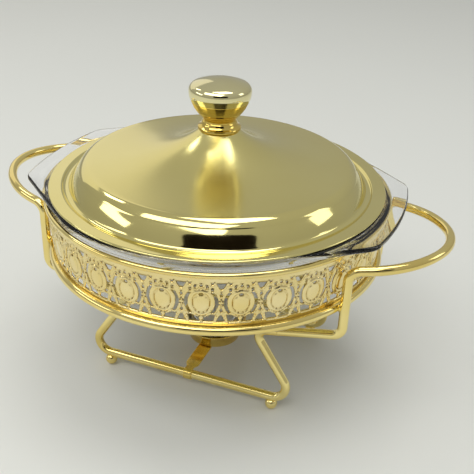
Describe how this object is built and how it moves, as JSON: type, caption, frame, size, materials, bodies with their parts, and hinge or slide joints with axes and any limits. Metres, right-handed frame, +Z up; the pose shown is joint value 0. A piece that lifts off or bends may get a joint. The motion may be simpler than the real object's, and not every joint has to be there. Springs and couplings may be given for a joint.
{
  "type": "chafing dish food warmer",
  "caption": "Round food warmer: wire stand with a pierced band, ball feet, looped handles and a tealight cup, holding a glass dish under a domed lid with a flared knob.",
  "frame": {"origin": "centre of the footprint, on the surface that the ball feet stand on", "axes": "+Z up, +X along the line through the two handles, -Y towards the front foot wire"},
  "size_m": [0.326, 0.236, 0.215],
  "materials": {
    "gold_wire": "polished gold plating on steel wire, lightly rippled at the welds",
    "pierced_sheet": "stamped and pierced sheet, polished light gold plating",
    "strap_gold": "gold plated sheet, duller where the flame warms it",
    "lid_gold": "mirror polished pale gold sheet",
    "knob_gold": "mirror polished gold plating",
    "knob_cap_gold": "polished champagne gold",
    "clear_glass": "clear pressed glass with polished edges",
    "tealight_aluminium": "thin drawn foil cup",
    "wax": "paraffin wax, slightly translucent",
    "wick_cotton": "braided cotton, waxed",
    "fastener_steel": "zinc plated steel"
  },
  "bodies": {
    "stand": {"bottom_ring": "gold_wire", "top_ring": "gold_wire", "pierced_band": "pierced_sheet", "left_handle_wire": "gold_wire", "right_handle_wire": "gold_wire", "front_foot_wire": "gold_wire", "back_foot_wire": "gold_wire", "front_left_ball_foot": "gold_wire", "front_right_ball_foot": "gold_wire", "back_left_ball_foot": "gold_wire", "back_right_ball_foot": "gold_wire", "burner_strap": "strap_gold", "burner_cup": "strap_gold", "cup_rivet": "strap_gold"},
    "tealight": {"tealight_case": "tealight_aluminium", "tealight_wax": "wax", "tealight_wick": "wick_cotton", "wick_tab": "fastener_steel"},
    "dish": {"glass_dish": "clear_glass"},
    "lid": {"lid_shell": "lid_gold", "knob_body": "knob_gold", "knob_cap": "knob_cap_gold", "knob_nut": "fastener_steel", "knob_screw": "fastener_steel", "knob_washer": "fastener_steel"}
  },
  "joints": [
    {"name": "dish_lift", "type": "slide", "parent": "stand", "child": "dish", "axis": [0, 0, 1], "range_m": [0, 0.07]},
    {"name": "lid_lift", "type": "slide", "parent": "dish", "child": "lid", "axis": [0, 0, 1], "range_m": [0, 0.08]},
    {"name": "tealight_lift", "type": "slide", "parent": "stand", "child": "tealight", "axis": [0, 0, 1], "range_m": [0, 0.03]}
  ]
}
